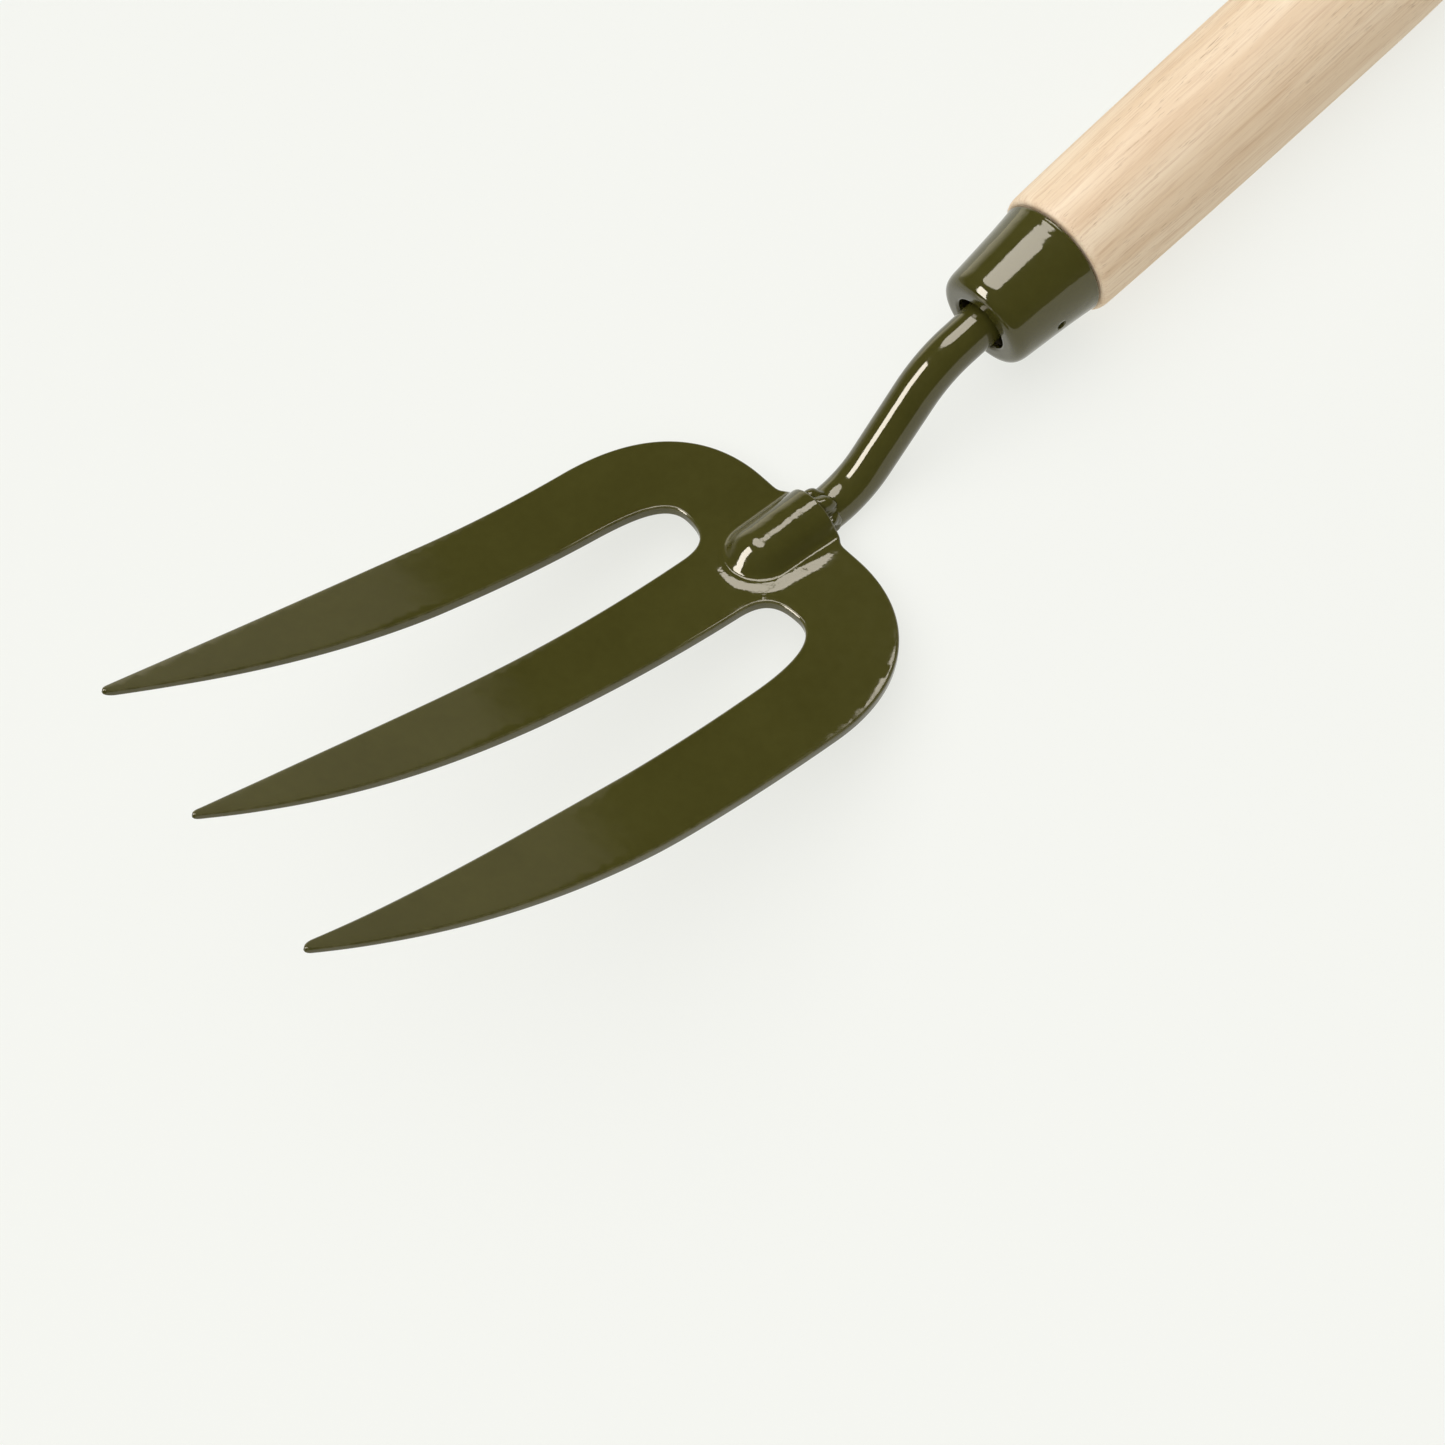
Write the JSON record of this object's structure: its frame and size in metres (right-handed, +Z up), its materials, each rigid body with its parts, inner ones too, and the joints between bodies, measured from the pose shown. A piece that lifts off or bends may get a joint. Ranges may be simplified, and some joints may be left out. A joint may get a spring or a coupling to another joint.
{
  "type": "hand fork",
  "caption": "Gardener's hand fork: an enamelled pressed-steel head with flat curved tines, a cranked round neck, a tapered ferrule and a turned wooden handle.",
  "frame": {"origin": "middle of the bounding box, on the surface that the fork lies on", "axes": "+Y from the tines to the butt of the handle, +Z up out of the hollow side of the tines, +X across, to the right as seen from the handle with the hollow side up"},
  "size_m": [0.0872, 0.3186, 0.0767],
  "materials": {
    "olive_enamel": "thick gloss enamel, dark olive, worn pale along some edges",
    "handle_wood": "smooth turned pale hardwood, unvarnished",
    "pin_steel": "dark drawn wire"
  },
  "bodies": {
    "root": {"fork_head": "olive_enamel", "neck_rod": "olive_enamel", "weld_top": "olive_enamel", "weld_left": "olive_enamel", "weld_right": "olive_enamel", "ferrule": "olive_enamel", "cross_pin": "pin_steel", "handle": "handle_wood"}
  },
  "joints": []
}
